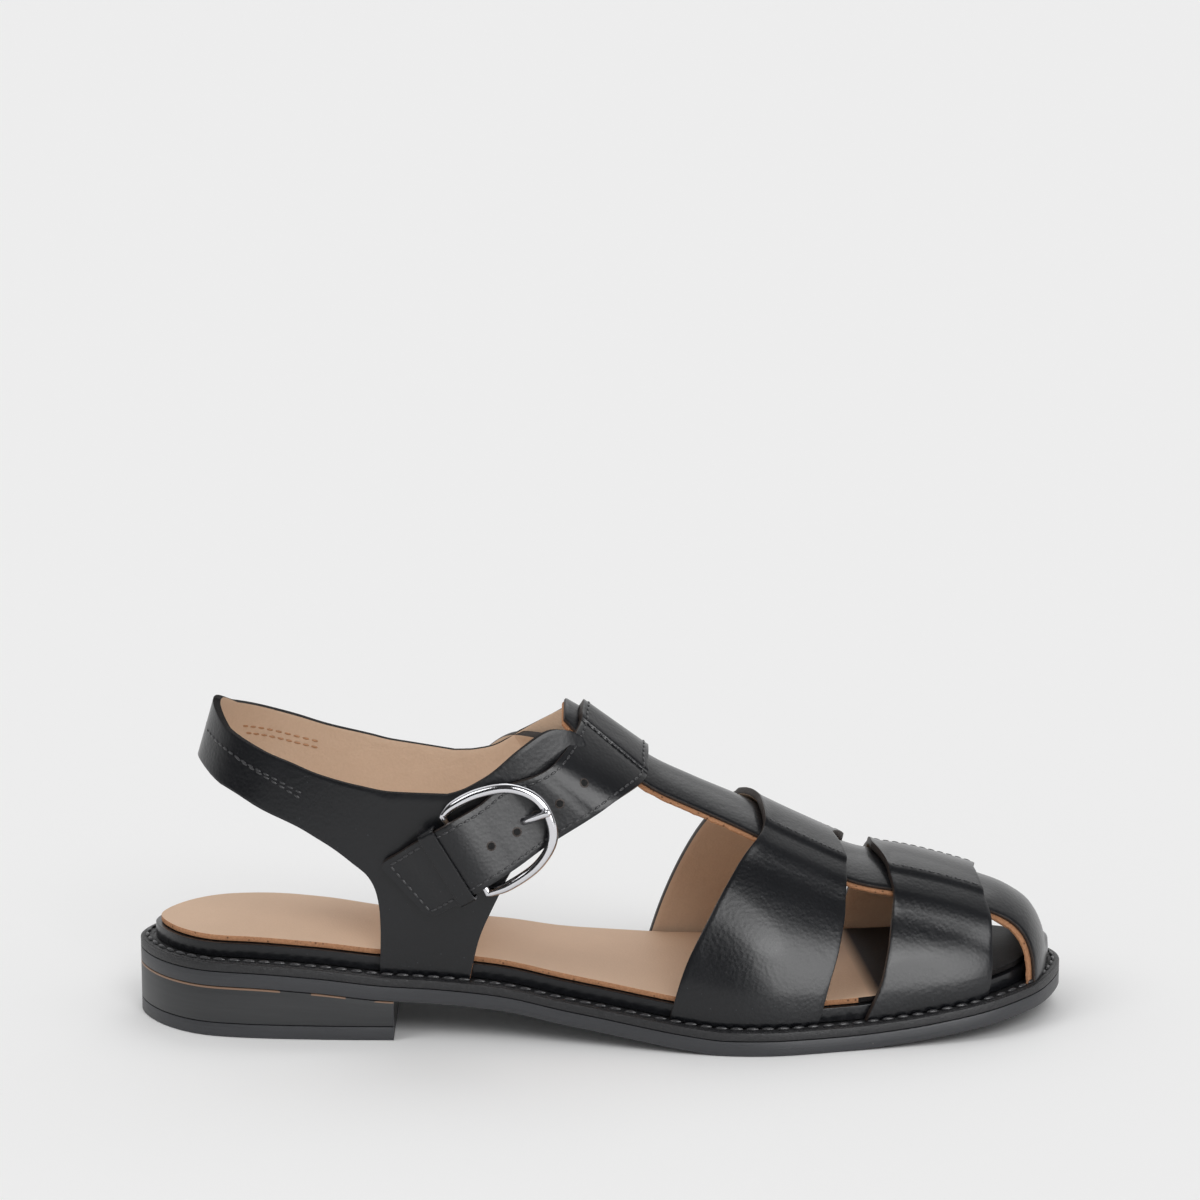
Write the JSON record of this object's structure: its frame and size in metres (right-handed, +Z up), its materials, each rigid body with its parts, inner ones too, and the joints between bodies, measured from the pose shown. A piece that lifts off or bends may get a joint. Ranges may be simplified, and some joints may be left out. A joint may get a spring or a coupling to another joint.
{
  "type": "fisherman sandal",
  "caption": "Low-heeled fisherman sandal for the right foot, with a T-bar, two vamp straps, a heel sling and a buckled ankle strap on a welted sole.",
  "frame": {"origin": "on the floor under the middle of the heel's round back part", "axes": "+X to the toe, +Y to the inner side of the right foot, +Z up"},
  "size_m": [0.262, 0.0883, 0.0907],
  "materials": {
    "sole rubber": "satin black rubber with fine moulded lines",
    "welt leather": "rough black cut leather",
    "polished black leather": "polished black leather with a fine grain",
    "tan lining leather": "matt tan leather",
    "polished metal": "polished silver-coloured metal"
  },
  "bodies": {
    "root": {"outsole": "sole rubber", "heel_block": "sole rubber", "top_lift": "sole rubber", "welt_midsole": "welt leather", "footbed": "polished black leather", "insole": "tan lining leather", "upper": "polished black leather", "strap_keeper": "polished black leather", "buckle_tab": "polished black leather", "buckle_frame": "polished metal", "buckle_prong": "polished metal"}
  },
  "joints": []
}
